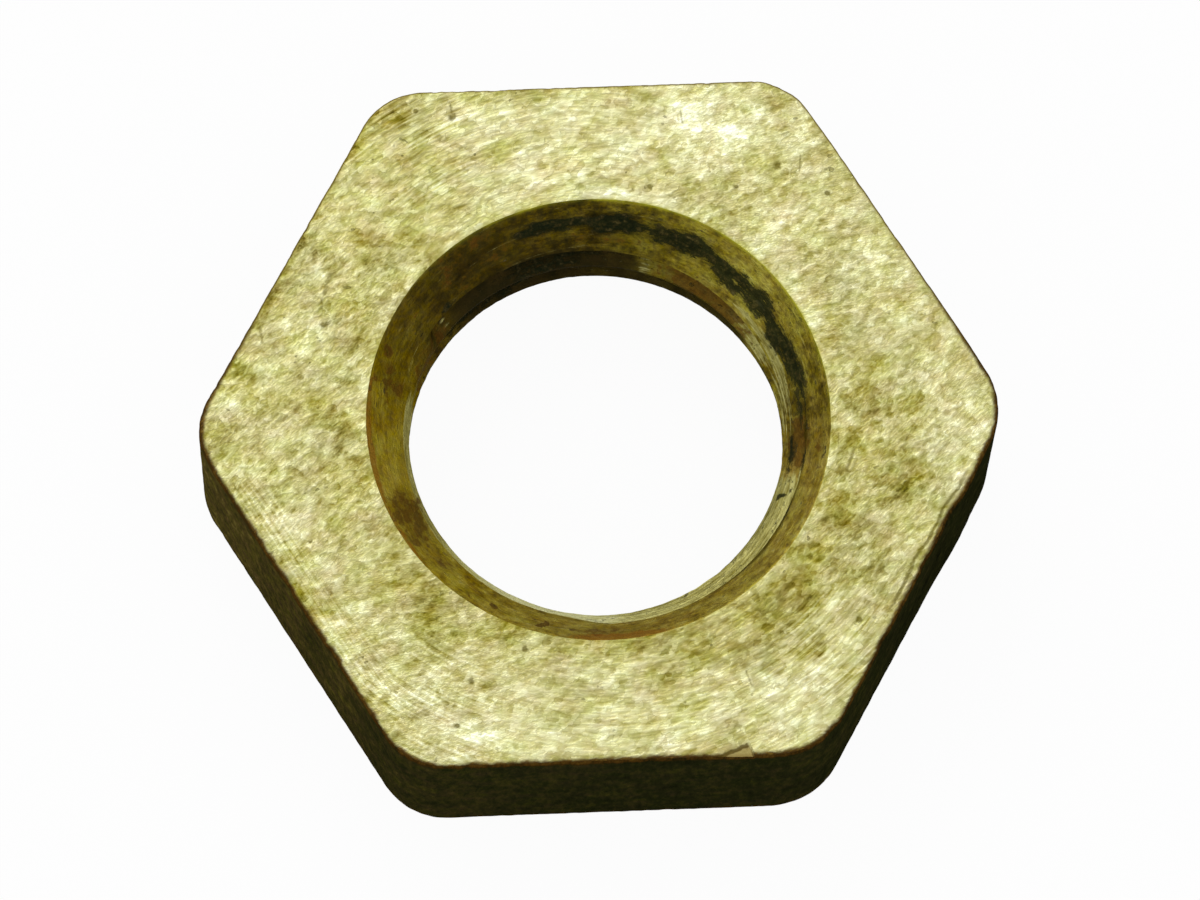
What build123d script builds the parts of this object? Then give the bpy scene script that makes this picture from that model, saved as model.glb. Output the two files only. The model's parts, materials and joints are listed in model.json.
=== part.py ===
from build123d import *
from build123d.topology import SkipClean
import math
import os

# Pipe lock nut for a half-inch straight pipe thread: one brass casting, faced on both
# sides, bored, threaded right through and countersunk at each mouth of the bore.
#
# Millimetres. The origin is the centre of the back face on the bore's axis. +Z runs along
# the bore to the front face, and +X points to a corner of the hexagon, so two of its six
# wrench flats face -Y and +Y.

# The casting.
across_flats = 36.5
thickness = 9.5
corner_radius = 3.65        # the cast corners are well rounded
edge_break = 0.25           # wear where each face meets the flats

# The bore, as wide as the crests of its thread, and the countersink at each mouth. The
# back one is narrower and deeper. Each angle is between opposite sides of the cone.
minor_diameter = 19.3
front_mouth_diameter = 23.8
front_mouth_angle = 82
back_mouth_diameter = 24.1
back_mouth_angle = 60

# The right-hand thread: a 60 degree vee with its crest and its root cut flat.
threads_per_inch = 14
thread_angle = 60
crest_flat = 0.20
root_flat = 0.10
first_groove_depth = 1.5    # from the front face to the first groove's middle, at +X

pitch = 25.4 / threads_per_inch
minor_radius = minor_diameter / 2
bore_faces = 4


def hexagonal_blank():
    """The casting before it is bored: a hexagonal prism with round corners."""
    outline = RegularPolygon(across_flats / 2, 6, major_radius=False)
    blank = extrude(fillet(outline.vertices(), corner_radius), thickness)
    rims = blank.edges().group_by(Axis.Z)
    return chamfer(rims[0] + rims[-1], edge_break)


def bore_sector():
    """One sector of the plain bore. Its seams lie halfway between the ends of the turns."""
    half_section = Pos(minor_radius / 2, thickness / 2) * Rectangle(minor_radius, thickness)
    sector_angle = 360 / bore_faces
    return Rot(0, 0, sector_angle / 2) * revolve(Plane.XZ * half_section, Axis.Z, sector_angle)


def thread_turn():
    """One turn of the thread's groove, from +X up round the bore and back to +X.

    The flanks run a little past the crests into the open bore, still clear of the next
    turn, and then the groove goes straight in, so that nothing ends on the bore's wall.
    """
    flank_slope = math.tan(math.radians(thread_angle / 2))
    flank_overrun = crest_flat / 4
    half_mouth = (pitch - crest_flat) / 2 + flank_overrun
    mouth_radius = minor_radius - flank_overrun / flank_slope
    root_radius = mouth_radius + (half_mouth - root_flat / 2) / flank_slope
    open_radius = mouth_radius - crest_flat
    section = Polyline(
        (open_radius, -half_mouth),
        (mouth_radius, -half_mouth),
        (root_radius, -root_flat / 2),
        (root_radius, root_flat / 2),
        (mouth_radius, half_mouth),
        (open_radius, half_mouth),
        close=True,
    )
    path = Helix(pitch, pitch, minor_radius)
    return sweep(Plane.XZ * make_face(section), path=path, is_frenet=True)


def countersink(mouth_diameter, cone_angle):
    """The cone cut upward from a mouth at the origin. Its tip ends in the open bore."""
    mouth_radius = mouth_diameter / 2
    tip_depth = mouth_radius / math.tan(math.radians(cone_angle / 2))
    return Cone(mouth_radius, 0, tip_depth, align=(Align.CENTER, Align.CENTER, Align.MIN))


def threaded_nut():
    """The blank, bored, threaded and then countersunk.

    No step merges the bore's sectors again, so each face along the crests is short.
    """
    turns = math.ceil(thickness / pitch) + 1
    top_turn = thickness - first_groove_depth
    with SkipClean():
        nut = hexagonal_blank() - PolarLocations(0, bore_faces) * bore_sector()
        for turn in range(turns):
            nut -= Pos(0, 0, top_turn - turn * pitch) * thread_turn()
        nut -= countersink(back_mouth_diameter, back_mouth_angle)
        front_mouth = Pos(0, 0, thickness) * Rot(180, 0, 0)
        nut -= front_mouth * countersink(front_mouth_diameter, front_mouth_angle)
    return nut


os.makedirs("parts", exist_ok=True)
export_step(threaded_nut(), "parts/lock_nut.step")
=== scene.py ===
"""Looks of the pipe lock nut: a worn brass casting, ground on its faces, on a white table."""
import json
import math

import bmesh
import bpy
import numpy as np
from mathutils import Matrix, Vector, noise

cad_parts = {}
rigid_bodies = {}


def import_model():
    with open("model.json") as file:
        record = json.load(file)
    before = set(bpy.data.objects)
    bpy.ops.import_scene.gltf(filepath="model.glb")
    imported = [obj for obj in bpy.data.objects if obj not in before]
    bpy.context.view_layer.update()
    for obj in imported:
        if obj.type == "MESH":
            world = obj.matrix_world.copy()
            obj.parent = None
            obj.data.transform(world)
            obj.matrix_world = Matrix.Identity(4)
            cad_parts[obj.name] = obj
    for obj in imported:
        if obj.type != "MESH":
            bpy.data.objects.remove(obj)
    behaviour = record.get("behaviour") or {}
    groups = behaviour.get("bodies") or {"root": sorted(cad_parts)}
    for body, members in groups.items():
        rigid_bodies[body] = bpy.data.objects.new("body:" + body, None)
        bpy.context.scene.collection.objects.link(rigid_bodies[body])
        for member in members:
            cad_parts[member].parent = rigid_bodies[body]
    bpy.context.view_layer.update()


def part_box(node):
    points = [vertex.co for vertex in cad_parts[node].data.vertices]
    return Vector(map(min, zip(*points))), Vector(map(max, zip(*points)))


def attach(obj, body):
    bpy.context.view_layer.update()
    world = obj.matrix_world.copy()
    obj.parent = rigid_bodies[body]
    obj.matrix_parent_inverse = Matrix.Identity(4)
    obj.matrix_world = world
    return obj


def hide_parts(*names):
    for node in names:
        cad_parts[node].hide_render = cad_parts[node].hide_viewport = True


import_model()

# ======== sizes, in millimetres
MM = 0.001
TINY = 1e-4                             # points closer than this are one point
NUT_HIGH = np.array(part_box("lock_nut")[1]) / MM
APOTHEM = NUT_HIGH[1]                   # from the axis to a wrench flat
CORNER_REACH = NUT_HIGH[0]              # from the axis to the tip of a corner
THICKNESS = NUT_HIGH[2]

# The rounding of each corner, anticlockwise from +X, and how far the side that follows it
# stands out: no two corners or sides of the casting are quite alike.
CORNER_RADII = (3.87, 3.3, 3.65, 3.65, 3.7, 4.2)
SIDE_SHIFTS = (0.07, 0.0, -0.02, 0.0, 0.0, 0.0)
LUMP_ANGLE, LUMP_SPREAD, LUMP_HEIGHT = 347, 5.0, 0.11     # a fuller place beside one corner
EDGE_ROUND = 0.15                       # the worn edge between a face and the sides

# The bore, its countersinks and its thread, as in the CAD source.
MINOR_RADIUS = 9.65
FRONT_RIM, FRONT_SLOPE = 11.9, math.tan(math.radians(41))
BACK_RIM, BACK_SLOPE = 12.05, math.tan(math.radians(30))
RIM_BREAK = 0.10                        # a rim's own small worn edge
BORE_REACH = 12.2                       # a little wider than both rims
PITCH = 25.4 / 14
FLANK_SLOPE = math.tan(math.radians(60))
CREST_FLAT = 0.20
ROOT_FLAT = 0.10
GROOVE_START = THICKNESS - 1.5          # height of the first groove's middle at +X
ROOT_RADIUS = MINOR_RADIUS + (PITCH / 2 - CREST_FLAT / 2 - ROOT_FLAT / 2) * FLANK_SLOPE

# The bore was cut a little off the casting's own centre.
FRONT_RIM_SHIFT = (-0.06, 0.09)
CREST_SHIFT = (-0.13, 0.0)

# How finely the mesh is divided. A face has twice as many columns beyond FACE_SPLIT of the
# way out from its rim; its rows are counted for each of the two parts.
BORE_COLUMNS = 480
EDGE_COLUMNS = 2 * BORE_COLUMNS
FACE_SPLIT = 0.55
FRONT_ROWS = (24, 14)
BACK_ROWS = (8, 5)
SIDE_ROWS = 18
FLANK_ROWS = 6
BORE_SAMPLES = 3801                     # heights at which a bore column is searched for creases


# ======== numbers and noise
def rough(points, size, octaves=3, seed=0.0):
    """Smooth noise from about -1 to 1 at each point, with features about size mm across."""
    offset = np.array((seed * 17.3, seed * 5.1, seed * 9.7))
    scaled = points / size + offset
    return np.array([noise.fractal(Vector(p), 1.0, 2.0, octaves) for p in scaled.tolist()])


def smooth_step(low, high, value):
    """0 below low, 1 above high, and a smooth climb between them."""
    t = np.clip((value - low) / (high - low), 0, 1)
    return t * t * (3 - 2 * t)


def between(angle, rise, fall):
    """Climbs from 0 to 1 over one span of angles and falls back over another."""
    return smooth_step(*rise, angle) * (1 - smooth_step(*fall, angle))


def angle_apart(a, b):
    """The signed difference of two angles in degrees, from -180 to 180."""
    return (a - b + 180) % 360 - 180


# ======== the shape
def outline_radius(angle):
    """Distance from the axis to the sides of the rounded hexagon, at an angle in degrees."""
    corner = np.round(angle / 60).astype(int) % 6
    away = np.radians(np.abs(angle_apart(angle, corner * 60)))
    radius = np.array(CORNER_RADII)[corner]
    centre = (APOTHEM - radius) / math.cos(math.radians(30))
    tangent = np.arctan2(radius / 2, centre + radius * math.cos(math.radians(30)))
    flat = APOTHEM / np.cos(math.radians(30) - away)
    inside = np.clip(radius ** 2 - (centre * np.sin(away)) ** 2, 0, None)
    arc = centre * np.cos(away) + np.sqrt(inside)
    shift = np.array(SIDE_SHIFTS)[np.floor(angle / 60).astype(int) % 6]
    radius = np.where(away < tangent, arc, flat) + shift * smooth_step(2, 14, np.degrees(away))
    radius += LUMP_HEIGHT * np.exp(-(angle_apart(angle, LUMP_ANGLE) / LUMP_SPREAD) ** 2)
    return np.minimum(radius, CORNER_REACH)


def polar(angle, radius, height):
    """Points from angles in degrees, radii and heights."""
    a = np.radians(angle)
    radius, height = np.broadcast_arrays(radius, height)
    return np.stack([radius * np.cos(a), radius * np.sin(a), height], -1)


def bore_radius(height, groove_middle):
    """Radius of the bore: the widest of its plain wall, the two countersinks and the groove."""
    front = FRONT_RIM - FRONT_SLOPE * (THICKNESS - height)
    back = BACK_RIM - BACK_SLOPE * height
    phase = np.abs((height - groove_middle + PITCH / 2) % PITCH - PITCH / 2)
    groove = ROOT_RADIUS - FLANK_SLOPE * np.clip(phase - ROOT_FLAT / 2, 0, None)
    return np.maximum.reduce([np.full_like(height, MINOR_RADIUS), front, back, groove])


def snap_rows_to_creases(heights, groove_middle):
    """Moves the nearest point of each column onto each line where two surfaces meet."""
    fine = np.linspace(0, THICKNESS, BORE_SAMPLES)
    step = fine[1] - fine[0]
    for i, middle in enumerate(groove_middle[:, 0]):
        bend = np.abs(np.diff(bore_radius(fine, middle), 2))
        for place in fine[1:-1][bend > 0.4 * step]:
            j = np.argmin(np.abs(heights[i] - place))
            if 0 < j < heights.shape[1] - 1 and abs(heights[i, j] - place) < PITCH / 16:
                heights[i, j] = place
    return heights


def grid(points):
    """Points and four-sided faces of a grid whose first index runs round the axis."""
    columns, rows = points.shape[:2]
    index = np.arange(columns * rows).reshape(columns, rows)
    faces = np.stack([index[:-1, :-1], index[1:, :-1], index[1:, 1:], index[:-1, 1:]], -1)
    return points.reshape(-1, 3), faces.reshape(-1, 4).tolist()


def round_the_axis(columns):
    """The angle of each column of a grid, with the first one again at the end."""
    return np.arange(columns + 1)[:, None] * 360 / columns


def bore_wall():
    """The bore between its two rims, as a grid whose rows climb with the thread."""
    flank = np.linspace(ROOT_FLAT / 2, PITCH / 2 - CREST_FLAT / 2, FLANK_ROWS)
    phases = np.concatenate([-flank[::-1], flank, [PITCH / 2]])
    first_turn = -math.ceil(GROOVE_START / PITCH) - 2
    rows = (np.arange(first_turn, 3)[:, None] * PITCH + phases[None, :]).ravel()
    column = np.arange(BORE_COLUMNS + 1)[:, None] / BORE_COLUMNS
    middle = GROOVE_START + PITCH * column
    heights = snap_rows_to_creases(middle + rows[None, :], middle)
    heights = np.clip(heights, RIM_BREAK, THICKNESS - RIM_BREAK)
    return grid(polar(360 * column, bore_radius(heights, middle), heights))


def doubling(coarse, fine):
    """Joins a ring to one with twice as many points."""
    start = len(coarse)
    faces = []
    for i in range(start - 1):
        a, b, c = start + 2 * i, start + 2 * i + 1, start + 2 * i + 2
        faces += [[i, a, b], [i, b, i + 1], [i + 1, b, c]]
    return np.concatenate([coarse, fine]), faces


def face_part(columns, shares, height, rim):
    """Part of a flat face, at some shares of the way from the rim to the outer edge."""
    angle = round_the_axis(columns)
    inner = rim + RIM_BREAK
    outer = outline_radius(angle) - EDGE_ROUND
    return polar(angle, inner + (outer - inner) * np.asarray(shares), height)


def flat_face(height, rim, rows):
    """A face of the nut: coarse columns near the rim, and twice as many near the edge."""
    inner_rows, outer_rows = rows
    coarse = face_part(BORE_COLUMNS, np.linspace(0, FACE_SPLIT, inner_rows), height, rim)
    shares = np.linspace(FACE_SPLIT, 1, outer_rows)[1:]
    fine = face_part(EDGE_COLUMNS, shares, height, rim)
    return [grid(coarse), doubling(coarse[:, -1], fine[:, 0]), grid(fine)]


def rim_edge(height, inward, rim, slope):
    """The small worn edge where a countersink meets a face; inward is -1 at the front."""
    drop = np.array([0.0, 0.012, 0.045, RIM_BREAK])
    radii = np.array([rim + RIM_BREAK, rim + 0.02, rim - 0.035, rim - slope * RIM_BREAK])
    angle = round_the_axis(BORE_COLUMNS)
    return grid(polar(angle, radii + 0 * angle, height + inward * drop))


def side_wall():
    """The sides, with the rounded edges that join them to both faces."""
    quarter = np.radians(np.linspace(0, 90, 5))
    plain = np.linspace(EDGE_ROUND, THICKNESS - EDGE_ROUND, SIDE_ROWS)[1:-1]
    low = EDGE_ROUND * (1 - np.cos(quarter))
    inset = EDGE_ROUND * (1 - np.sin(quarter))
    height = np.concatenate([low, plain, THICKNESS - low[::-1]])
    inset = np.concatenate([inset, 0 * plain, inset[::-1]])
    angle = round_the_axis(EDGE_COLUMNS)
    return grid(polar(angle, outline_radius(angle) - inset, height))


def welded(parts):
    """One bmesh of all the parts, with the points that they share made one."""
    bm = bmesh.new()
    for points, faces in parts:
        verts = [bm.verts.new(p) for p in points.tolist()]
        for face in faces:
            bm.faces.new([verts[k] for k in face])
    bmesh.ops.remove_doubles(bm, verts=bm.verts, dist=TINY)
    bmesh.ops.dissolve_degenerate(bm, edges=bm.edges, dist=TINY / 10)
    bmesh.ops.recalc_face_normals(bm, faces=bm.faces)
    return bm


# ======== wear
# Each chip on the front edge: angle in degrees, width along the edge and depth in mm.
CHIPS = (
    (342.5, 1.6, 0.22), (333.0, 0.9, 0.12), (318.0, 0.8, 0.12),
    (303.0, 0.9, 0.14), (276.0, 0.7, 0.10), (262.0, 0.8, 0.10), (248.0, 0.7, 0.12),
    (221.0, 1.1, 0.14), (207.0, 0.9, 0.12), (184.0, 1.2, 0.12),
)

# The largest chip is a small flat facet: the line that it broke off along, its depth there,
# and how much deeper it is a millimetre further out.
FACET_START, FACET_END = (4.9, -18.3), (6.8, -17.5)
FACET_STEP, FACET_FALL = 0.12, 0.25

# Small pits in the front face: x, y, width and depth.
PITS = (
    (-6.9, 16.8, 0.5, 0.12), (3.15, 12.55, 0.45, 0.10), (-7.1, -13.7, 0.45, 0.12),
    (9.8, 13.5, 0.5, 0.06), (-7.9, -16.0, 0.4, 0.06), (-15.0, -6.0, 0.35, 0.05),
    (15.5, -4.0, 0.45, 0.06), (-13.9, 5.6, 0.4, 0.05), (12.3, 11.9, 0.4, 0.05),
    (-4.3, -12.1, 0.4, 0.05), (10.4, -7.8, 0.4, 0.05), (-8.8, 17.2, 0.35, 0.05),
    (12.7, -11.2, 0.45, 0.05), (7.6, 12.4, 0.35, 0.05),
)

# Dark scratches in the front face: the two ends and the width of each.
SCRATCHES = (
    ((-7.05, 17.7), (-6.9, 16.8), 0.10), ((4.9, 16.8), (5.0, 15.9), 0.08),
    ((11.0, 14.1), (10.9, 13.0), 0.09), ((12.45, -3.3), (13.0, -1.9), 0.13),
    ((6.8, -13.6), (7.1, -14.6), 0.09), ((17.3, -5.4), (16.7, -7.4), 0.10),
    ((-13.5, 8.5), (-13.9, 7.2), 0.15), ((-17.2, 5.7), (-17.1, 4.7), 0.12),
    ((-14.0, 7.2), (-14.0, 6.4), 0.09), ((12.2, -1.1), (12.1, -2.1), 0.08),
)

# Where hard dirt fills part of the first groove, and where it closes the groove: the spans
# of angle over which it comes and goes.
DIRT_COMES, DIRT_GOES = (-24, -4), (108, 116)
CLOSING, OPENING = (138, 150), (256, 300)


class Shape:
    """Where each point of the undamaged casting lies, in the terms that wear is put in."""

    def __init__(self, points):
        self.points = points
        x, y, self.height = points.T
        self.radius = np.hypot(x, y)
        self.angle = np.degrees(np.arctan2(y, x)) % 360
        self.depth = THICKNESS - self.height
        self.from_side = outline_radius(self.angle) - self.radius
        self.outward = np.stack([x, y, 0 * x], -1) / np.maximum(self.radius[:, None], 1e-6)
        self.turn = (self.angle / 360) * PITCH
        middle = GROOVE_START + self.turn
        self.from_groove = (self.height - middle + PITCH / 2) % PITCH - PITCH / 2
        front = FRONT_RIM - FRONT_SLOPE * self.depth
        back = BACK_RIM - BACK_SLOPE * self.height
        self.plain_bore = np.maximum.reduce([np.full_like(x, MINOR_RADIUS), front, back])
        self.in_bore = self.radius < self.plain_bore + 1.5
        self.in_bore &= (self.height > TINY) & (self.depth > TINY) & (self.radius < BORE_REACH)


def chipped(shape, away):
    """Depth of the chips along the front edge, for points this far away from it."""
    along = outline_radius(shape.angle) * np.radians(1)
    cut = np.zeros_like(away)
    for angle, width, deep in CHIPS:
        beside = angle_apart(shape.angle, angle) * along / (width / 2)
        cut += deep * np.exp(-beside ** 4) * np.exp(-(away / 0.7) ** 2)
    return cut


def worn_edge(shape, points):
    """Wears the outer edges, the front one most, and chips the front one."""
    edges = ((-1, shape.depth, 1.0, 1.0), (1, shape.height, 0.6, 2.0))
    for inward, height, strength, seed in edges:
        away = np.hypot(shape.from_side, height)
        ragged = np.clip(rough(shape.points, 0.55, 4, seed), 0, 1)
        slow = np.clip(rough(shape.points, 5.0, 2, seed + 4) + 0.15, 0, 1)
        cut = strength * (0.01 + 0.09 * ragged * (0.3 + slow)) * np.exp(-(away / 0.3) ** 2)
        if inward < 0:
            cut += chipped(shape, away)
        points -= 0.7 * shape.outward * cut[:, None]
        points[:, 2] += inward * cut
    return points


def line_axes(start, end):
    """A line's direction, the direction to its right, and its length."""
    across = np.subtract(end, start)
    length = np.hypot(*across)
    along = across / length
    return along, np.array((along[1], -along[0])), length


def broken_facet(shape, points):
    """Sinks the facet of the largest chip."""
    along, outward, length = line_axes(FACET_START, FACET_END)
    from_start = shape.points[:, :2] - FACET_START
    beside = from_start @ along
    beyond = from_start @ outward
    inside = smooth_step(-0.05, 0.05, beyond)
    inside *= between(beside, (0, 0.1), (length - 0.1, length))
    front = np.exp(-(shape.depth / 0.3) ** 2)
    points[:, 2] -= front * inside * (FACET_STEP + FACET_FALL * np.clip(beyond, 0, 1))
    return points


def cast_skin(shape, points):
    """Gives the sides the shallow unevenness of a casting. It only goes inward."""
    on_side = np.exp(-(np.clip(shape.from_side, 0, None) / 0.9) ** 2)
    wavy = 0.5 + 0.5 * rough(shape.points, 6.0, 2, 7.0)
    grain = np.clip(0.5 + rough(shape.points, 0.7, 3, 8.0), 0, 1)
    cut = on_side * (0.012 * np.clip(wavy, 0, 1) + 0.018 * grain)
    return points - shape.outward * cut[:, None]


def face_relief(shape, points):
    """Leaves each face a little uneven, and pits the front one."""
    front = np.exp(-(shape.depth / 0.08) ** 2)
    back = np.exp(-(shape.height / 0.08) ** 2)
    hollow = 0.02 * np.clip(0.4 + rough(shape.points, 3.0, 2, 11.0), 0, 1)
    hollow += 0.025 * np.clip(rough(shape.points, 0.8, 3, 12.0), 0, 1)
    points[:, 2] += (back - front) * hollow
    for x, y, width, deep in PITS:
        away = np.hypot(shape.points[:, 0] - x, shape.points[:, 1] - y) / (width / 2)
        points[:, 2] -= front * deep * np.exp(-away ** 2)
    return points


def groove_dirt(shape):
    """Depth of the hard dirt in the first groove: part of it filled, and part closed."""
    cut_in = shape.radius - shape.plain_bore
    signed = angle_apart(shape.angle, 0)
    dirty = between(signed, DIRT_COMES, DIRT_GOES)
    lumps = 0.5 + 0.5 * rough(shape.points, 0.5, 4, 21.0)
    first = (shape.depth < 2.2) & (np.abs(shape.from_groove) < PITCH / 2)
    fill = np.where(shape.in_bore & first, cut_in * dirty * (0.35 + 0.5 * lumps), 0)
    closed = between(shape.angle, CLOSING, OPENING)
    first_turn = shape.depth < THICKNESS - GROOVE_START + 1.5 * PITCH - shape.turn
    return np.where(shape.in_bore & first_turn, np.maximum(fill, cut_in * closed), fill)


def worn_bore(shape, points):
    """Puts dirt in the first groove, wears the crests, and moves the bore off the centre."""
    bore = shape.in_bore
    crest = (np.abs(shape.radius - MINOR_RADIUS) < 0.05) & bore
    worn = np.where(crest, 0.03 * np.clip(rough(shape.points, 0.8, 3, 22.0), 0, 1), 0)
    grain = np.where(bore, 0.012 * rough(shape.points, 0.35, 3, 23.0), 0)
    points = points + shape.outward * (worn - groove_dirt(shape) + grain)[:, None]
    share = smooth_step(0, 2.6, shape.depth)[:, None]
    near = 1 - smooth_step(11.5, 14.5, shape.radius)[:, None]
    shift = np.array(FRONT_RIM_SHIFT) * (1 - share) + np.array(CREST_SHIFT) * share
    points[:, :2] += near * shift
    return points


def kept_in_box(points):
    """Brings back whatever the noise would push past the CAD model's box."""
    low = np.array((-CORNER_REACH, -APOTHEM, 0.0))
    return np.clip(points, low, -low * (1, 1, 0) + (0, 0, THICKNESS))


# ======== where the colours change
def marks(angle, depth, spots):
    """Strength of marks: (angle, depth, degrees wide, mm tall, strength)."""
    total = np.zeros_like(angle)
    for a, d, wide, tall, strength in spots:
        away = np.hypot(angle_apart(angle, a) / (wide / 2), (depth - d) / (tall / 2))
        total = np.maximum(total, strength * (1 - smooth_step(0.45, 1.35, away)))
    return total


def patches(points, spots):
    """Sum of soft patches on the face: (x, y, width, strength)."""
    total = np.zeros(len(points))
    for x, y, width, strength in spots:
        away = np.hypot(points[:, 0] - x, points[:, 1] - y) / (width / 2)
        total += strength * np.exp(-away ** 2)
    return total


# Patches of the front face that are paler or more tarnished: x, y, width, strength.
FACE_PATCHES = (
    # the first three patches together are a painted highlight, a patch of glare
    (5.2, 16.3, 2.0, 0.55), (7.3, 15.2, 1.8, 0.62), (8.6, 16.4, 1.6, 0.25),
    (-3.0, 13.8, 1.4, 0.25), (-1.0, 16.2, 3.0, 0.20), (-2.5, 12.9, 1.4, 0.30),
    (15.2, -3.4, 3.0, -0.28), (8.4, -10.0, 3.6, -0.34), (-9.2, -9.8, 3.6, -0.34),
    (-8.0, 14.0, 3.6, -0.20), (-12.2, 6.4, 3.6, -0.20), (-14.4, 0.0, 3.0, -0.16),
    (7.2, 11.6, 3.2, -0.26), (12.3, 7.4, 2.4, -0.18), (-19.3, -0.2, 1.5, -0.50),
    (-8.2, 9.6, 4.0, -0.10), (9.8, 12.6, 1.6, -0.20), (13.7, 11.4, 2.2, -0.22),
    (17.8, 0.8, 2.4, 0.24), (18.0, -4.0, 2.0, 0.22), (14.2, -6.4, 2.4, 0.22),
    (-19.0, -2.6, 1.8, 0.30), (-16.0, 6.4, 2.0, 0.20), (-15.8, 0.0, 2.6, 0.20),
    (9.0, -15.2, 3.6, 0.30), (5.2, -15.8, 3.0, 0.26), (0.8, -15.2, 3.2, 0.24),
    (-7.5, -16.2, 3.2, 0.34), (11.4, -12.4, 2.4, 0.10), (-15.0, -5.0, 3.0, 0.18),
    (-9.5, -13.4, 2.2, -0.18), (1.5, -12.4, 3.4, -0.24), (11.0, -7.6, 4.0, -0.24),
    (-10.0, -5.4, 3.0, -0.10), (12.8, 2.0, 3.4, -0.12), (14.5, 5.0, 2.4, 0.12),
    (9.8, 17.0, 1.6, -0.50), (8.2, 10.3, 1.4, -0.40), (-9.8, 16.9, 1.8, -0.35),
    (-4.2, 14.2, 1.2, -0.25), (-17.1, 4.6, 2.0, -0.22), (6.3, -13.5, 2.4, -0.20),
    (-10.5, -15.9, 1.6, -0.30), (17.1, 2.2, 1.6, -0.25), (-18.2, -1.6, 1.8, 0.25),
    (17.7, -2.5, 2.4, 0.40), (12.8, 9.5, 2.0, 0.20), (-12.2, 3.4, 2.0, 0.24),
    (-4.2, -14.9, 2.4, 0.24), (10.6, -14.2, 2.0, 0.26), (-13.3, -3.0, 2.4, -0.24),
    (-8.0, -13.6, 1.6, 0.24), (-10.0, 7.0, 1.8, 0.20), (12.9, -11.6, 1.6, -0.22),
    (10.5, 14.0, 1.6, 0.20), (13.4, 0.4, 1.8, -0.22), (15.6, -2.5, 1.0, -0.26),
    (16.1, -3.6, 1.0, -0.32), (15.4, -4.5, 1.0, -0.28), (-14.2, 8.4, 0.8, 0.50),
    (-14.6, 5.8, 0.9, 0.50), (-17.6, 4.9, 0.8, 0.35), (6.4, 13.2, 1.6, 0.22),
    (-3.4, 16.3, 1.8, 0.18), (-12.5, -7.7, 2.2, -0.20), (15.9, 6.8, 1.8, 0.20),
    (13.4, -4.7, 1.8, -0.20), (10.2, 7.9, 1.4, 0.18),
)

# How much paler (or darker, below zero) each face is beside its rim and its outer edge:
# angle and change.
RIM_TONE = (
    (10, 0.06), (32, 0.20), (50, -0.04), (72, 0.28), (95, 0.10), (130, 0.12), (165, 0.10),
    (190, 0.0), (215, 0.02), (232, -0.06), (255, -0.14), (275, -0.08), (295, 0.02),
    (312, 0.06), (330, 0.24), (350, 0.04),
)
EDGE_TONE = (
    (30, -0.10), (60, -0.22), (75, -0.16), (105, -0.18), (120, -0.36), (150, -0.36),
    (182, -0.22), (210, -0.14), (245, -0.12), (290, -0.12), (305, 0.0), (340, 0.05),
)

# How clean and warm the metal of the countersink is round the bore: angle and share. Its
# low far side, from about 80 to 150 degrees, is partly painted shade.
WARMTH = (
    (0, 0.46), (12, 0.42), (38, 0.68), (60, 0.52), (90, 0.26), (130, 0.22), (152, 0.36),
    (175, 0.60), (190, 0.72), (210, 0.68), (225, 0.66), (250, 0.62), (270, 0.68),
    (300, 0.62), (330, 0.66), (345, 0.70),
)

# Where the first groove leaves the countersink on the near side: angle and depth.
GROOVE_LIP = (
    (160, 2.24), (225, 2.14), (250, 2.10), (272, 1.98), (290, 1.84), (300, 1.68),
    (318, 1.42), (345, 1.50),
)

# Marks in the bore: angle, depth under the front face, degrees wide, mm tall and strength.
# Black dirt; the last three entries darken the far wall deep in the bore, towards the back face.
SOOT = (
    (22, 1.5, 26, 0.95, 1.0), (36, 1.3, 16, 1.1, 1.0), (48, 1.35, 20, 0.95, 1.0),
    (64, 1.15, 24, 0.85, 1.0), (82, 1.0, 22, 0.75, 1.0), (100, 0.95, 22, 0.6, 1.0),
    (7, 1.5, 18, 0.9, 0.62), (350, 1.5, 10, 0.5, 0.8), (352, 2.15, 16, 0.35, 0.75),
    (338, 2.2, 3.0, 0.3, 0.8), (137.5, 1.95, 3.0, 0.25, 0.9), (148, 1.75, 2.6, 0.2, 0.7),
    (336, 1.5, 14, 0.25, 0.6), (122, 4.6, 60, 1.3, 1.0), (92, 4.4, 30, 1.4, 0.85),
    (100, 3.2, 34, 1.2, 0.55),
)
# Brown stains; the entry at 165 degrees is a dark brown patch on the left of the countersink, from
# the rim down to the hole.
BROWN = (
    (203, 1.3, 15, 2.8, 0.84), (211, 1.0, 12, 2.0, 0.66), (219, 1.3, 13, 1.6, 0.50),
    (165, 1.2, 9, 2.4, 0.55), (158, 0.5, 4.0, 0.7, 0.8), (124, 1.0, 26, 2.2, 0.42),
    (272, 0.8, 26, 1.6, 0.55), (354, 1.8, 18, 1.4, 0.8), (52, 3.8, 34, 3.2, 0.9),
    (166, 1.4, 16, 1.2, 0.35), (86, 1.7, 30, 0.6, 0.4), (253, 0.9, 1.8, 0.8, 1.3),
    (239, 0.8, 2.8, 0.5, 1.2), (233, 0.6, 1.6, 0.6, 0.8), (152, 3.8, 30, 3.4, 0.7),
    (350, 0.6, 16, 1.0, 0.45),
)
# Orange rust just inside the front rim.
RIM_RUST = (
    (272, 0.1, 30, 1.1, 1.0), (186, 0.1, 44, 0.6, 0.8), (212, 0.1, 20, 0.4, 0.7),
)
# Painted shade, mostly deep in the thread, put on as dull dark metal.
SHADE = (
    (106, 3.9, 74, 4.2, 1.0), (60, 5.4, 66, 3.0, 0.9), (96, 2.3, 50, 0.5, 0.6),
    (26, 5.6, 50, 1.6, 0.5),
)
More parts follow.
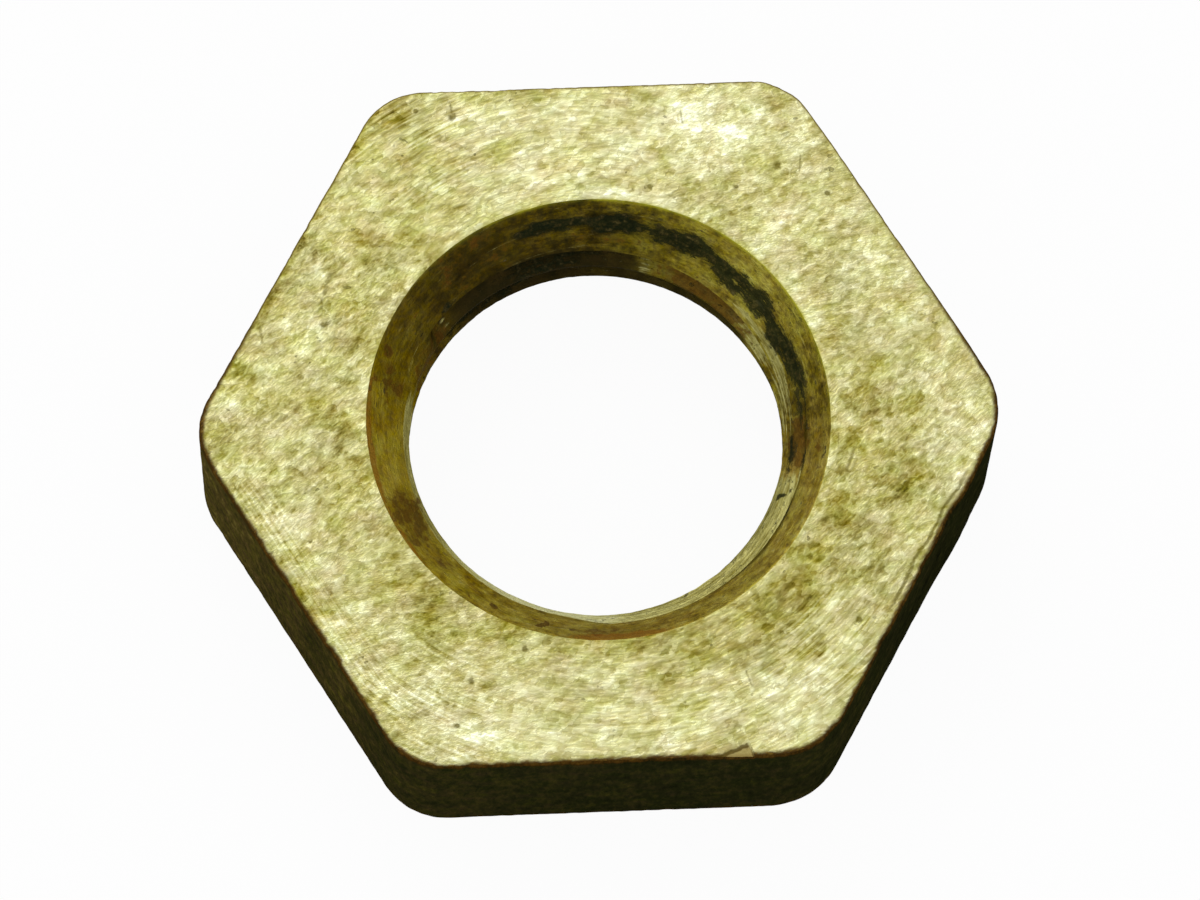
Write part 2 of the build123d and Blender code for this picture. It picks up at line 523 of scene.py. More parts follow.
# Bright metal on crests and flanks of the thread, partly clean metal and partly painted glints.
CLEAN_METAL_AND_GLINTS = (
    (22, 2.15, 46, 0.34, 0.9), (30, 3.4, 22, 1.6, 0.9), (8, 3.3, 34, 2.2, 0.75),
    (36, 1.3, 5.0, 0.3, 0.9), (100, 0.95, 8.0, 0.16, 0.55), (73, 3.2, 4.0, 1.8, 0.42),
    (139, 3.3, 2.6, 0.8, 0.45), (168, 3.4, 22, 2.0, 0.55),
)

# What comes over one span of angles and goes over another. The first two are on the front
# face, beside its outer edge, and the rest in the bore.
BANDS = {
    "burr": ((320, 328), (347, 352)),       # a dark turned-over burr
    "rubs": ((184, 192), (226, 240)),       # long rubs along the edge
    "calm": ((92, 114), (185, 215)),        # evenly tarnished
    "golden": ((146, 166), (226, 262)),     # richer in colour
    # the shine band is a painted highlight along the first groove's near flank
    "shine": ((205, 240), (264, 290)),      # the groove's flank shines most
}


def long_scratches(shape):
    """Where the long scratches round the axis show, near three of the corners."""
    total = 0 * shape.angle
    for corner, spread in ((237, 14), (312, 16), (120, 11)):
        total = np.maximum(total, np.exp(-(angle_apart(shape.angle, corner) / spread) ** 2))
    broken = np.clip(0.6 + 1.2 * rough(shape.points, 1.8, 3, 34.0), 0, 1)
    return total * broken * smooth_step(13.5, 15.5, shape.radius)


def face_tone(shape):
    """How much paler or darker than the middle tone the ground faces are, point by point."""
    tone = 0.034 * (shape.radius - 15.3) / 2
    tone += 0.06 * np.cos(np.radians(2 * shape.angle - 144))
    tone += 0.03 * np.cos(np.radians(shape.angle - 110))
    beside_rim = np.exp(-((shape.radius - FRONT_RIM - 0.1) / 0.7) ** 2)
    tone += beside_rim * np.interp(shape.angle, *zip(*RIM_TONE), period=360)
    beside_edge = np.exp(-np.clip(shape.from_side, 0, None) / 0.6)
    tone += beside_edge * np.interp(shape.angle, *zip(*EDGE_TONE), period=360)
    tone += np.where(shape.depth < 1, 0.5 * patches(shape.points, FACE_PATCHES), 0)
    return tone


def below_groove_lip(shape):
    """How far below the first groove's upper edge each point of the near side lies."""
    return np.clip(shape.depth - np.interp(shape.angle, *zip(*GROOVE_LIP)), -1, 1.6)


def bright_lip(shape):
    """Where the front rim catches the light as a thin line, mostly on its far side."""
    far = 0.15 + 0.85 * smooth_step(75, 35, np.abs(angle_apart(shape.angle, 62)))
    broken = np.clip(0.8 + 0.8 * rough(shape.points, 1.0, 3, 33.0), 0, 1)
    line = np.exp(-((shape.radius - FRONT_RIM) / 0.08) ** 2) * (shape.depth < 0.2)
    return far * broken * line


def steep_ends(angle):
    """Where the grinding left steeper strokes: the left and the right end of the face."""
    left = between(angle, (116, 142), (200, 222))
    right = smooth_step(306, 326, angle) + (1 - smooth_step(4, 22, angle)) * (angle < 180)
    return np.clip(left + right, 0, 1)


def paint_masks(shape):
    """The slow masks that the materials read, each a value for every point."""
    wobble = 3.0 * rough(shape.points, 1.4, 3, 31.0)
    angle = shape.angle + wobble
    depth = shape.depth + 0.05 * wobble
    signed = angle_apart(shape.angle, 0)
    turned = between(shape.angle, (66, 84), (118, 142))
    turned += between(shape.angle, (240, 266), (310, 330))
    from_edge = np.hypot(np.clip(shape.from_side, 0, None), np.minimum(shape.depth, shape.height))
    # painted light on the sides: lightest on the far sides, less on the lower left, darker on the
    # near and lower right sides
    lit_side = 1 - smooth_step(170, 280, shape.angle)
    masks = {
        # the faces and their outer edge
        "tone": face_tone(shape),
        "turned": turned,
        "steep": steep_ends(angle),
        "arcs": long_scratches(shape),
        "lip": bright_lip(shape),
        "from_side": np.clip(shape.from_side, 0, 3),
        "far": smooth_step(0.0, 0.7, np.sin(np.radians(shape.angle))),
        "front": shape.height / THICKNESS,
        # the sides; the second mask is painted light, making some sides lighter than others
        "edge": np.clip(0.85 - from_edge / 1.1, 0, 1),
        "lit_side": lit_side - 0.25 * smooth_step(300, 335, shape.angle),
        # the bore: green tints its metal, and the lip line is a painted shadow over the first
        # groove's near lip
        # warmth is partly painted shade: low on the far side, where less light falls
        "warmth": np.interp(shape.angle, *zip(*WARMTH), period=360),
        "green": between(signed, (-10, 25), (70, 100)) * (signed >= 0),
        "below_lip": below_groove_lip(shape),
        "lip_shadow_line": smooth_step(228, 305, angle),
        "near": between(shape.angle, (160, 172), (338, 350)),
        "clean_and_glints": marks(shape.angle, shape.depth, CLEAN_METAL_AND_GLINTS),
        "brown": marks(angle, depth, BROWN),
        "rim_rust": marks(angle, depth, RIM_RUST),
        "shade": marks(angle, depth, SHADE),
        "soot": marks(angle, depth, SOOT),
    }
    for name, spans in BANDS.items():
        masks[name] = between(angle, *spans)
    return masks


# ======== materials
class Paint:
    """The nodes of a material or of the world, with short calls for the kinds used here."""

    def __init__(self, owner, shader="Principled BSDF"):
        owner.use_nodes = True
        self.owner = owner
        self.nodes = owner.node_tree.nodes
        self.links = owner.node_tree.links
        self.shader = self.nodes[shader]

    def put(self, socket, value):
        if isinstance(value, bpy.types.NodeSocket):
            self.links.new(value, socket)
        else:
            socket.default_value = value

    def make(self, kind, settings=(), **inputs):
        """A new node with these settings, and with values or sockets in the inputs named."""
        node = self.nodes.new("ShaderNode" + kind)
        for name, value in dict(settings).items():
            setattr(node, name, value)
        for name, value in inputs.items():
            self.put(node.inputs[name.replace("_", " ")], value)
        return node

    def vector(self, operation, a, b):
        """Vector arithmetic; b is a plain factor where the operation is SCALE."""
        node = self.make("VectorMath", {"operation": operation})
        self.put(node.inputs[0], a)
        self.put(node.inputs["Scale" if operation == "SCALE" else 1], b)
        scalar = operation in ("DOT_PRODUCT", "DISTANCE")
        return node.outputs["Value" if scalar else "Vector"]

    def math(self, operation, a, b=0.0, clamp=False):
        node = self.make("Math", {"operation": operation, "use_clamp": clamp})
        self.put(node.inputs[0], a)
        self.put(node.inputs[1], b)
        return node.outputs[0]

    def sum(self, *terms):
        """Adds (value, weight) pairs."""
        total = 0.0
        for value, weight in terms:
            total = self.math("ADD", self.math("MULTIPLY", value, weight), total)
        return total

    def product(self, total, *values):
        """Multiplies the values."""
        for value in values:
            total = self.math("MULTIPLY", total, value)
        return total

    def blend(self, share, a, b):
        """The value a where the share is 0, and b where it is 1."""
        rest = self.math("SUBTRACT", 1, share)
        return self.math("ADD", self.product(a, rest), self.product(b, share))

    def step(self, low, high, value):
        """0 below low, 1 above high."""
        smooth = {"interpolation_type": "SMOOTHSTEP"}
        return self.make("MapRange", smooth, Value=value, From_Min=low, From_Max=high).outputs[0]

    def attribute(self, name):
        return self.make("Attribute", {"attribute_name": name}).outputs["Fac"]

    def place(self):
        """The point that is painted, in millimetres."""
        return self.vector("SCALE", self.make("TexCoord").outputs["Object"], 1 / MM)

    def noise(self, where, detail=2.0, roughness=0.5):
        """Noise centred on zero whose features are about one unit of where across."""
        node = self.make("TexNoise", Vector=where, Scale=1.0, Detail=detail, Roughness=roughness)
        return self.math("SUBTRACT", node.outputs["Fac"], 0.5)

    def cells(self, where):
        """A different value from -0.5 to 0.5 in each of many small, soft-edged cells."""
        soft = {"feature": "SMOOTH_F1"}
        node = self.make("TexVoronoi", soft, Vector=where, Scale=1.0, Smoothness=0.35)
        red = self.make("SeparateColor", Color=node.outputs["Color"]).outputs[0]
        return self.math("SUBTRACT", red, 0.5)

    def distorted(self, where, amount):
        """Coordinates pushed about by noise, so that nothing laid out on them is regular."""
        node = self.make("TexNoise", Vector=where, Scale=1.3, Detail=1.0)
        push = self.vector("SUBTRACT", node.outputs["Color"], (0.5, 0.5, 0.5))
        return self.vector("ADD", where, self.vector("SCALE", push, 2 * amount))

    def stretched(self, sizes, turn=0, shift=(0, 0, 0)):
        """Coordinates divided by a feature's size along three axes, turned about +Z."""
        turned = (0, 0, math.radians(turn))
        node = self.make("Mapping", {"vector_type": "TEXTURE"}, Vector=self.place(),
                         Location=shift, Rotation=turned, Scale=sizes)
        return node.outputs[0]

    def round_axis(self, length, width):
        """Coordinates for features length long round the axis (at 15 mm) and width wide."""
        x, y, z = self.make("SeparateXYZ", Vector=self.place()).outputs
        squares = self.sum((self.math("POWER", x, 2), 1), (self.math("POWER", y, 2), 1))
        radius = self.math("SQRT", squares)
        across = self.math("DIVIDE", self.math("ADD", radius, z), width)
        node = self.make("CombineXYZ", X=self.product(self.math("DIVIDE", x, radius), 15 / length),
                         Y=self.product(self.math("DIVIDE", y, radius), 15 / length), Z=across)
        return node.outputs[0]

    def beside_edge(self, length, width):
        """Coordinates for features length long beside the outer edge and width wide."""
        x, y, _ = self.make("SeparateXYZ", Vector=self.place()).outputs
        across = self.math("DIVIDE", self.attribute("from_side"), width)
        node = self.make("CombineXYZ", X=self.math("DIVIDE", x, length),
                         Y=self.math("DIVIDE", y, length), Z=across)
        return node.outputs[0]

    def beside_line(self, start, end):
        """1 between the ends of a line on the front face, and how far to its right it is."""
        along, right, length = line_axes(start, end)
        from_start = self.vector("SUBTRACT", self.place(), (*start, 0))
        beside = self.vector("DOT_PRODUCT", from_start, (*along, 0))
        beyond = self.vector("DOT_PRODUCT", from_start, (*right, 0))
        within = self.product(self.step(0, 0.12, beside),
                              self.step(length, length - 0.12, beside),
                              self.attribute("front"))
        return within, beyond

    def ramp(self, value, stops):
        """Colours (sRGB, 0 to 255) along a value from 0 to 1."""
        node = self.make("ValToRGB", Fac=value)
        elements = node.color_ramp.elements
        while len(elements) < len(stops):
            elements.new(1.0)
        for element, (position, colour) in zip(elements, stops):
            element.position = position
            element.color = linear(colour)
        return node.outputs[0]

    def covered(self, colour, cover, mask, strength=1.0):
        """The colour with a cover, plain sRGB or a socket, over it where the mask says."""
        if isinstance(cover, tuple):
            cover = linear(cover)
        share = self.product(mask, strength)
        mix = self.make("Mix", {"data_type": "RGBA"}, Factor=share, A=colour, B=cover)
        return mix.outputs["Result"]

    def tinted(self, colour, hue, saturation, brightness=0.0):
        """The colour with its hue, saturation and brightness changed by amounts near zero."""
        node = self.make("HueSaturation", Color=colour, Hue=self.math("ADD", hue, 0.5),
                         Saturation=self.math("ADD", saturation, 1.0),
                         Value=self.math("ADD", brightness, 1.0))
        return node.outputs[0]

    def finish(self, colour, roughness, gloss, relief, distance, strength):
        """Sets the shader's looks, and a bump of a relief in units of distance mm."""
        bump = self.make("Bump", Height=relief, Distance=distance * MM, Strength=strength)
        self.put(self.shader.inputs["Base Color"], colour)
        self.put(self.shader.inputs["Roughness"], roughness)
        self.put(self.shader.inputs["Specular IOR Level"], gloss)
        self.put(self.shader.inputs["Normal"], bump.outputs[0])
        return self.owner


def linear(colour):
    """An sRGB colour from 0 to 255 as a linear RGBA one."""
    c = [v / 255 for v in colour]
    return [v / 12.92 if v <= 0.04045 else ((v + 0.055) / 1.055) ** 2.4 for v in c] + [1.0]


# All colours are sRGB from 0 to 255. The ground brass, from deep tarnish through clean metal
# to bright scratches, whose brightest end is partly painted glints.
FACE_COLOURS = (
    (0.0, (72, 62, 8)), (0.12, (112, 101, 24)), (0.27, (147, 137, 62)),
    (0.39, (168, 161, 92)), (0.51, (186, 180, 117)), (0.63, (202, 197, 140)),
    (0.75, (216, 213, 162)), (0.88, (234, 234, 189)), (1.0, (250, 250, 224)),
)
TARNISH = (150, 130, 60)
FINE_PITS = (98, 88, 26)
DARK_MARKS = (94, 84, 0)
FACE_RIM_HIGHLIGHT = (176, 172, 52)
WORN_EDGE_COLOURS = ((0.25, (40, 27, 8)), (0.55, (74, 52, 14)), (0.8, (124, 100, 36)))
FAR_EDGE = (138, 124, 58)
FACET = (166, 146, 86)
FACET_SHADOW = (84, 66, 10)

# The cast skin, dark partly of its own colour and partly as painted shade, and its rubbed edges.
SKIN_COLOURS = (
    (0.0, (16, 18, 8)), (0.35, (36, 37, 16)), (0.6, (56, 51, 22)), (0.85, (84, 73, 32)),
    (1.0, (112, 100, 50)),
)
RUBBED_COLOURS = ((0.0, (44, 30, 8)), (0.5, (68, 46, 14)), (1.0, (104, 78, 28)))

# The bore: ochre metal, flanks bright partly with painted glints, brown stains, painted shade and
# black dirt.
BORE_COLOURS = (
    (0.0, (36, 32, 10)), (0.2, (66, 55, 16)), (0.4, (108, 91, 26)), (0.6, (150, 131, 50)),
    (0.8, (182, 165, 78)), (1.0, (210, 203, 134)),
)
GLINT_COLOURS = ((0.2, (124, 116, 46)), (0.7, (214, 210, 138)), (1.0, (252, 252, 196)))
STAIN_COLOURS = ((0.2, (52, 31, 8)), (0.8, (112, 76, 28)))
LIP_SHADOW = (78, 68, 10)
ORANGE_RUST = (146, 96, 30)
SHADE_COLOURS = ((0.3, (30, 32, 16)), (0.7, (66, 52, 26)))
DIRT_COLOURS = (
    (0.25, (8, 18, 10)), (0.52, (26, 34, 20)), (0.64, (56, 50, 28)), (0.80, (96, 88, 54)),
)
BORE_RIM_HIGHLIGHT = (170, 168, 44)
BORE_SHEEN = (214, 206, 132)


def ground_strokes(p):
    """The grinding's short strokes, as they lie alone and with the turned ones among them."""
    level = p.noise(p.stretched((0.56, 0.27, 1), 10), 2.0, 0.75)
    steep = p.noise(p.stretched((0.54, 0.27, 1), 42, (3, 5, 0)), 2.0, 0.75)
    strokes = p.blend(p.attribute("steep"), level, steep)
    turned = p.noise(p.round_axis(0.9, 0.22), 1.5, 0.7)
    return strokes, p.blend(p.product(p.attribute("turned"), 0.75), strokes, turned)


def long_marks(p):
    """Long scratches round the axis, and rubs that run beside an edge."""
    arcs = p.product(p.noise(p.round_axis(6.0, 0.14), 1.0), p.attribute("arcs"))
    rubs = p.product(p.noise(p.beside_edge(6.0, 0.16), 1.0), p.attribute("rubs"),
                     p.step(2.6, 1.6, p.attribute("from_side")))
    return p.sum((arcs, 1.1), (rubs, 0.7))


def pits_and_scratches(p):
    """1 in the pits of the front face, and 0.6 in its scratches."""
    wobble = p.noise(p.stretched((0.25, 0.25, 0.25)), 2.0)
    place = p.place()
    total = 0.0
    for x, y, width, _ in PITS:
        away = p.sum((p.vector("DISTANCE", place, (x, y, THICKNESS)), 1), (wobble, 0.3))
        total = p.math("MAXIMUM", total, p.step(0.55 * width, 0.20 * width, away))
    for start, end, width in SCRATCHES:
        within, beyond = p.beside_line(start, end)
        away = p.sum((p.math("ABSOLUTE", beyond), 1), (wobble, 0.2))
        mark = p.product(within, p.step(width, 0.2 * width, away), 0.6)
        total = p.math("MAXIMUM", total, mark)
    return total


def burr_line(p, mottle):
    """1 along the dark burr just inside the edge."""
    away = p.sum((p.attribute("from_side"), 1.0), (mottle, 0.7), (-0.50, 1))
    line = p.step(0.15, 0.04, p.math("ABSOLUTE", away))
    return p.product(line, p.attribute("burr"), p.attribute("front"))


def tarnished(p, colour, scratches):
    """The face's colour with soft brown tarnish and clusters of fine pits; and the pits."""
    stain = p.noise(p.stretched((2.2, 2.0, 1), 0, (9, 4, 0)), 3.0, 0.6)
    tarnish = p.step(0.10, 0.30, p.sum((stain, 1.0), (scratches, 0.4)))
    colour = p.covered(colour, TARNISH, tarnish, 0.35)
    pits = p.noise(p.stretched((0.42, 0.34, 1), 10, (7, 2, 0)), 1.0)
    pitted = p.product(p.step(0.20, 0.28, pits), p.step(-0.02, 0.14, stain))
    return p.covered(colour, FINE_PITS, pitted, 0.55), pitted


def edged(p, colour, strokes, mottle):
    """The face's colour with the dark line of its worn outer edge."""
    ragged = p.sum((p.attribute("from_side"), 1.0), (strokes, -0.32), (mottle, -0.45),
                   (p.attribute("far"), 0.16))
    edge = p.ramp(p.math("ADD", strokes, 0.5), WORN_EDGE_COLOURS)
    edge = p.covered(edge, FAR_EDGE, p.attribute("far"), 0.8)
    return p.covered(colour, edge, p.step(0.36, 0.10, ragged))


def with_facet(p, colour):
    """The face's colour with the largest chip, and the dark step along its inner side."""
    within, beyond = p.beside_line(FACET_START, FACET_END)
    beyond = p.sum((p.noise(p.stretched((0.3, 0.3, 1))), 0.2), (beyond, 1))
    chip = p.product(within, p.step(0.0, 0.05, beyond))
    from_step = p.math("ABSOLUTE", p.math("SUBTRACT", beyond, 0.03))
    step = p.product(within, p.step(0.15, 0.06, from_step))
    colour = p.covered(colour, FACET, chip, 0.75)
    return p.covered(colour, FACET_SHADOW, step, 0.85)


def ground_face():
    """Brass ground flat long ago: short scratches, tarnish in the hollows, bright high spots
    partly painted as glints.
    """
    p = Paint(bpy.data.materials.new("ground_brass"))
    strokes, scratches = ground_strokes(p)
    grains = p.cells(p.distorted(p.stretched((0.36, 0.27, 1), 25), 0.5))
    flakes = p.cells(p.distorted(p.stretched((1.1, 0.8, 1), 30), 0.6))
    mottle = p.noise(p.stretched((3.4, 2.8, 3), 20), 4.0, 0.80)
    fine = p.sum((scratches, 0.86), (grains, 0.27))
    tone = p.sum((fine, 0.80), (flakes, 0.21), (mottle, 0.70), (long_marks(p), 1.0),
                 (p.attribute("tone"), 1.0))
    colour = p.ramp(p.math("ADD", tone, 0.555, clamp=True), FACE_COLOURS)
    hue = p.noise(p.stretched((1.3, 1.0, 1), 0, (3, 8, 0)), 3.0, 0.6)
    fade = p.noise(p.stretched((1.7, 1.3, 1), 15, (5, 1, 0)), 3.0, 0.6)
    # the fine strokes also lighten the colour: partly painted glints along their ridges
    colour = p.tinted(colour, p.sum((hue, 0.08), (0.002, 1)), p.product(fade, 0.50),
                      p.product(fine, 0.38))
    colour, pitted = tarnished(p, colour, scratches)
    # painted highlight: the thin line of light along the front rim
    colour = p.covered(colour, FACE_RIM_HIGHLIGHT, p.attribute("lip"), 0.7)
    dark = p.math("MAXIMUM", p.product(burr_line(p, mottle), 0.7),
                  p.product(pits_and_scratches(p), 0.8))
    colour = p.covered(colour, DARK_MARKS, dark)
    colour = with_facet(p, edged(p, colour, strokes, mottle))
    p.put(p.shader.inputs["Metallic"], 0.8)
    roughness = p.sum((scratches, -0.3), (mottle, -0.2), (0.48, 1))
    relief = p.sum((scratches, 0.8), (grains, 0.3), (mottle, 0.8), (pitted, -0.5))
    return p.finish(colour, roughness, 0.25, relief, 0.10, 1.0)


def cast_side():
    """The sides' cast skin: dark, partly as painted shade, matt and grainy, rubbed to brown brass
    along the edges.
    """
    p = Paint(bpy.data.materials.new("cast_skin"))
    grain = p.noise(p.stretched((0.34, 0.34, 0.7)), 3.0, 0.7)
    cloud = p.noise(p.stretched((3.0, 3.0, 2.0)), 3.0, 0.6)
    tint = p.noise(p.stretched((0.9, 0.9, 0.7), 0, (6, 3, 1)), 3.0, 0.7)
    # painted light: the tone makes some sides lighter than others, besides the skin's own grain
    # and clouds
    tone = p.sum((grain, 0.9), (cloud, 0.6), (p.attribute("lit_side"), 0.44), (0.37, 1))
    skin = p.tinted(p.ramp(tone, SKIN_COLOURS), p.product(tint, 0.12), p.product(tint, 0.3))
    rub = p.sum((p.attribute("edge"), 1.0), (grain, 0.9), (cloud, 0.4))
    rubbed = p.ramp(p.step(0.35, 1.2, rub), RUBBED_COLOURS)
    rubbed = p.covered(rubbed, FAR_EDGE, p.attribute("far"), 0.8)
    colour = p.covered(skin, rubbed, p.step(0.45, 0.80, rub))
    return p.finish(colour, 0.7, 0.0, grain, 0.12, 0.9)


class BoreNoises:
    """The noises that the bore's metal, stains and dirt share, from long lines to blots."""

    def __init__(self, p):
        self.lines = p.noise(p.round_axis(4.0, 0.14), 2.0)
        self.streak = p.noise(p.round_axis(1.4, 0.3), 4.0, 0.7)
        self.cloud = p.noise(p.stretched((1.6, 1.6, 0.9)), 3.0, 0.62)
        self.fine = p.noise(p.stretched((0.35, 0.35, 0.3)), 3.0, 0.7)
        self.blot = p.noise(p.stretched((0.8, 0.8, 0.6), 0, (4, 2, 6)), 2.0, 0.6)


def ochre_metal(p, n):
    """The bore's own metal, darker on its far side partly as painted shade."""
    uneven = p.sum((n.lines, 0.12), (n.streak, 0.5), (n.cloud, 0.6), (n.fine, 0.7),
                   (n.blot, 0.7))
    uneven = p.product(uneven, p.sum((p.attribute("calm"), -0.45), (1.0, 1)))
    colour = p.ramp(p.math("ADD", uneven, p.attribute("warmth")), BORE_COLOURS)
    hue = p.sum((n.cloud, 0.06), (p.attribute("green"), 0.014))
    richness = p.sum((n.fine, 0.4), (p.attribute("golden"), 0.07))
    return p.tinted(colour, hue, richness)


def with_glints(p, n, colour):
    """Bright clean metal and painted glints on crests and flanks, and on the near flank of the
    first groove.
    """
    # painted highlight along the first groove's near flank, which is clean and faces up into the
    # light
    flank = p.product(p.attribute("near"), p.step(0.02, 0.12, p.attribute("below_lip")), 1.1)
    clean_and_glints = p.math("MAXIMUM", p.attribute("clean_and_glints"), flank)
    clean_and_glints = p.sum((clean_and_glints, 1), (n.lines, 1.6), (n.streak, 0.9), (n.fine, 0.5))
    # the glint colours are painted highlights, brightest in the shine band
    glint = p.sum((n.streak, 0.8), (n.lines, 0.8), (p.attribute("shine"), 0.52), (0.42, 1))
    return p.covered(colour, p.ramp(glint, GLINT_COLOURS), p.step(0.30, 0.80, clean_and_glints), 0.85)


def with_stains_and_shadow(p, n, colour):
    """Brown stains, the painted shadow line above the groove's near lip, and rust inside the rim.
    """
    brown = p.sum((p.attribute("brown"), 1), (n.cloud, 1.3), (n.blot, 1.5), (n.fine, 1.4))
    stain = p.ramp(p.math("ADD", n.fine, 0.5), STAIN_COLOURS)
    colour = p.covered(colour, stain, p.step(0.30, 0.80, brown), 0.85)
    # painted shadow: the dark line where the countersink overhangs the first groove on the near
    # side
    below = p.attribute("below_lip")
    line = p.product(p.step(-0.28, -0.10, below), p.step(0.10, 0.02, below),
                     p.attribute("lip_shadow_line"), p.step(-0.30, 0.05, n.streak))
    colour = p.covered(colour, LIP_SHADOW, line, 0.85)
    rust = p.sum((p.attribute("rim_rust"), 1), (n.cloud, 1.0), (n.fine, 1.2))
    return p.covered(colour, ORANGE_RUST, p.step(0.30, 0.80, rust), 0.75)


def with_dirt(p, n, colour):
    """Painted shade, dull and dark, and black dirt over the colour; and where each of them is."""
    # painted shade, put on as dull dark metal deep in the thread
    shade = p.sum((p.attribute("shade"), 1), (n.cloud, 0.8), (n.fine, 0.5))
    shade = p.step(0.25, 0.85, shade)
    painted_shade = p.ramp(p.math("ADD", n.cloud, 0.5), SHADE_COLOURS)
    colour = p.covered(colour, painted_shade, shade, 0.88)
    soot = p.sum((p.attribute("soot"), 0.95), (n.streak, 2.3), (n.cloud, 0.5), (n.fine, 1.6))
    soot = p.step(0.22, 0.70, soot)
    grime = p.ramp(p.sum((n.fine, 1), (n.streak, 0.5), (0.5, 1)), DIRT_COLOURS)
    return p.covered(colour, grime, soot, 0.94), shade, soot


def turned_bore():
    """The countersinks and the thread: turned brass gone ochre, with stains, black dirt, painted
    glints and painted shade.
    """
    p = Paint(bpy.data.materials.new("bore_brass"))
    n = BoreNoises(p)
    colour = with_stains_and_shadow(p, n, with_glints(p, n, ochre_metal(p, n)))
    colour, shade, soot = with_dirt(p, n, colour)
    # painted highlight: the thin line of light along the front rim
    colour = p.covered(colour, BORE_RIM_HIGHLIGHT, p.attribute("lip"), 0.8)
    dull = p.math("MAXIMUM", soot, shade)
    p.put(p.shader.inputs["Metallic"], p.sum((dull, -0.6), (0.7, 1)))
    p.put(p.shader.inputs["Specular Tint"], linear(BORE_SHEEN))
    roughness = p.sum((dull, 0.22), (n.streak, -0.3), (0.50, 1))
    relief = p.sum((n.lines, 0.3), (n.fine, 1.0), (soot, 0.5), (n.cloud, 0.4))
    return p.finish(colour, roughness, 0.05, relief, 0.08, 0.9)


# ======== the piece
def dress(mesh, shape):
    """Gives each face of the mesh its material, and each point its masks."""
    for material in (ground_face(), cast_side(), turned_bore()):
        mesh.materials.append(material)
    for name, values in paint_masks(shape).items():
        layer = mesh.attributes.new(name, "FLOAT", "POINT")
        layer.data.foreach_set("value", values.astype(np.float32))
    on_side = (shape.from_side < EDGE_ROUND * 0.72).astype(int)
    kind = np.where(shape.in_bore, 2, on_side)
    for polygon in mesh.polygons:
        votes = np.bincount(kind[list(polygon.vertices)], minlength=3)
        polygon.material_index = int(np.argmax(votes))


def make_nut():
    """The whole casting as one closed skin, worn and painted."""
    parts = [bore_wall(), side_wall()]
    parts.append(rim_edge(THICKNESS, -1, FRONT_RIM, FRONT_SLOPE))
    parts.append(rim_edge(0.0, 1, BACK_RIM, BACK_SLOPE))
    parts += flat_face(THICKNESS, FRONT_RIM, FRONT_ROWS)
    parts += flat_face(0.0, BACK_RIM, BACK_ROWS)
    bm = welded(parts)
    mesh = bpy.data.meshes.new("nut_casting")
    bm.to_mesh(mesh)
    bm.free()
    points = np.array([v.co for v in mesh.vertices], float)
    shape = Shape(points)
    points = worn_bore(shape, points)
    points = cast_skin(shape, points)
    points = broken_facet(shape, worn_edge(shape, points))
    points = kept_in_box(face_relief(shape, points))
    mesh.vertices.foreach_set("co", (points * MM).astype(np.float32).ravel())
    mesh.update()
    dress(mesh, shape)
    mesh.shade_smooth()
    mesh.set_sharp_from_angle(angle=math.radians(32))
    nut = bpy.data.objects.new("nut_casting", mesh)
    bpy.context.scene.collection.objects.link(nut)
    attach(nut, "root")
    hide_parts("lock_nut")


# ======== table, light and camera
TABLE_HALF = 1.0                        # metres from the axis to the table's sides
TABLE_DROP = 0.00002                    # metres, so that the nut's underside stays clear of it
TABLE_GLOW = 0.955                      # how much of the table's look is plain white
SURROUND_LIGHT = 0.7                    # the white surround's strength as a light
LAMP_PLACE = (-0.15, 0.45, 0.5)         # metres
LAMP_SIZE, LAMP_POWER = 0.4, 1.0        # metres and watts
LENS, SENSOR = 230.3, 36                # mm
CAMERA_PLACE = (-12.29, -124.33, 381.70)    # mm
CAMERA_TURN = (18.295, -1.066, -2.475)      # degrees about X, Y and Z


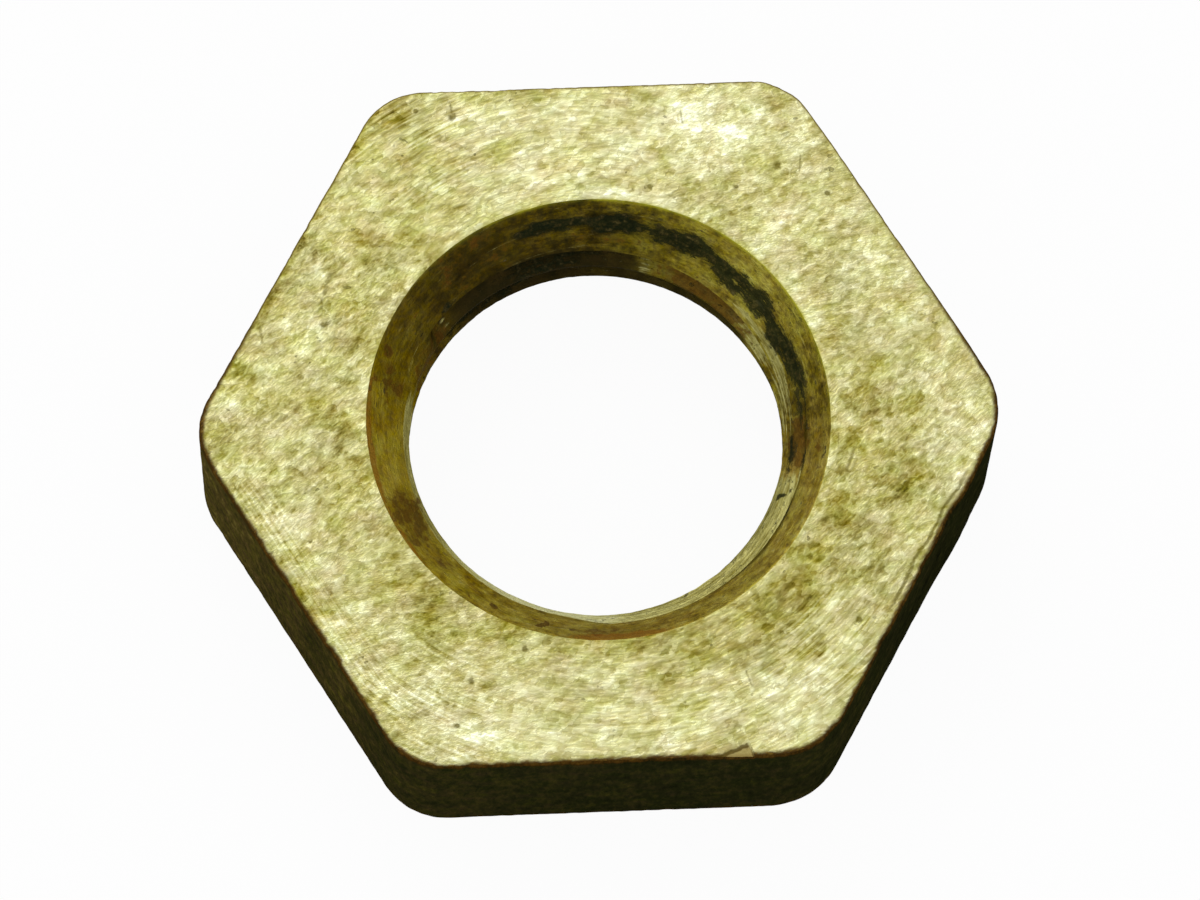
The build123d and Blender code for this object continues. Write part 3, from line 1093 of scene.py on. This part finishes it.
def white_table():
    """White to the camera, and still darkened a little by the nut's shadow."""
    p = Paint(bpy.data.materials.new("white_table"))
    p.put(p.shader.inputs["Base Color"], (0.9, 0.9, 0.9, 1))
    p.put(p.shader.inputs["Roughness"], 0.9)
    to_camera = p.make("LightPath").outputs["Is Camera Ray"]
    mix = p.make("MixShader")
    p.put(mix.inputs[0], p.product(to_camera, TABLE_GLOW))
    p.put(mix.inputs[1], p.shader.outputs[0])
    p.put(mix.inputs[2], p.make("Emission").outputs[0])
    p.put(p.nodes["Material Output"].inputs["Surface"], mix.outputs[0])
    return p.owner


def make_table():
    mesh = bpy.data.meshes.new("table")
    h = TABLE_HALF
    mesh.from_pydata([(-h, -h, 0), (h, -h, 0), (h, h, 0), (-h, h, 0)], [], [(0, 1, 2, 3)])
    table = bpy.data.objects.new("table", mesh)
    bpy.context.scene.collection.objects.link(table)
    table.location.z = -TABLE_DROP
    mesh.materials.append(white_table())


def make_world():
    """A white surround, dimmer as a light than it looks to the camera and in reflections."""
    world = bpy.data.worlds.new("studio")
    bpy.context.scene.world = world
    p = Paint(world, "Background")
    rays = p.make("LightPath").outputs
    seen = p.math("MAXIMUM", rays["Is Camera Ray"], rays["Is Glossy Ray"])
    strength = p.make("MapRange", Value=seen, To_Min=SURROUND_LIGHT, To_Max=1.0)
    p.put(p.shader.inputs["Color"], (1, 1, 1, 1))
    p.put(p.shader.inputs["Strength"], strength.outputs[0])


def make_lamp():
    data = bpy.data.lights.new("key", "AREA")
    data.shape = "DISK"
    data.size = LAMP_SIZE
    data.energy = LAMP_POWER
    lamp = bpy.data.objects.new("key", data)
    lamp.location = LAMP_PLACE
    lamp.rotation_euler = (-Vector(LAMP_PLACE)).to_track_quat("-Z", "Y").to_euler()
    bpy.context.scene.collection.objects.link(lamp)


def make_camera():
    data = bpy.data.cameras.new("camera")
    data.lens = LENS
    data.sensor_width = SENSOR
    data.clip_start, data.clip_end = 0.01, 10
    camera = bpy.data.objects.new("camera", data)
    camera.location = Vector(CAMERA_PLACE) * MM
    camera.rotation_euler = [math.radians(a) for a in CAMERA_TURN]
    bpy.context.scene.collection.objects.link(camera)
    bpy.context.scene.camera = camera


for left_over in [o for o in bpy.data.objects if o.name in ("Cube", "Light", "Camera")]:
    bpy.data.objects.remove(left_over)
make_nut()
make_table()
make_world()
make_lamp()
make_camera()
bpy.context.scene.view_settings.view_transform = "Standard"
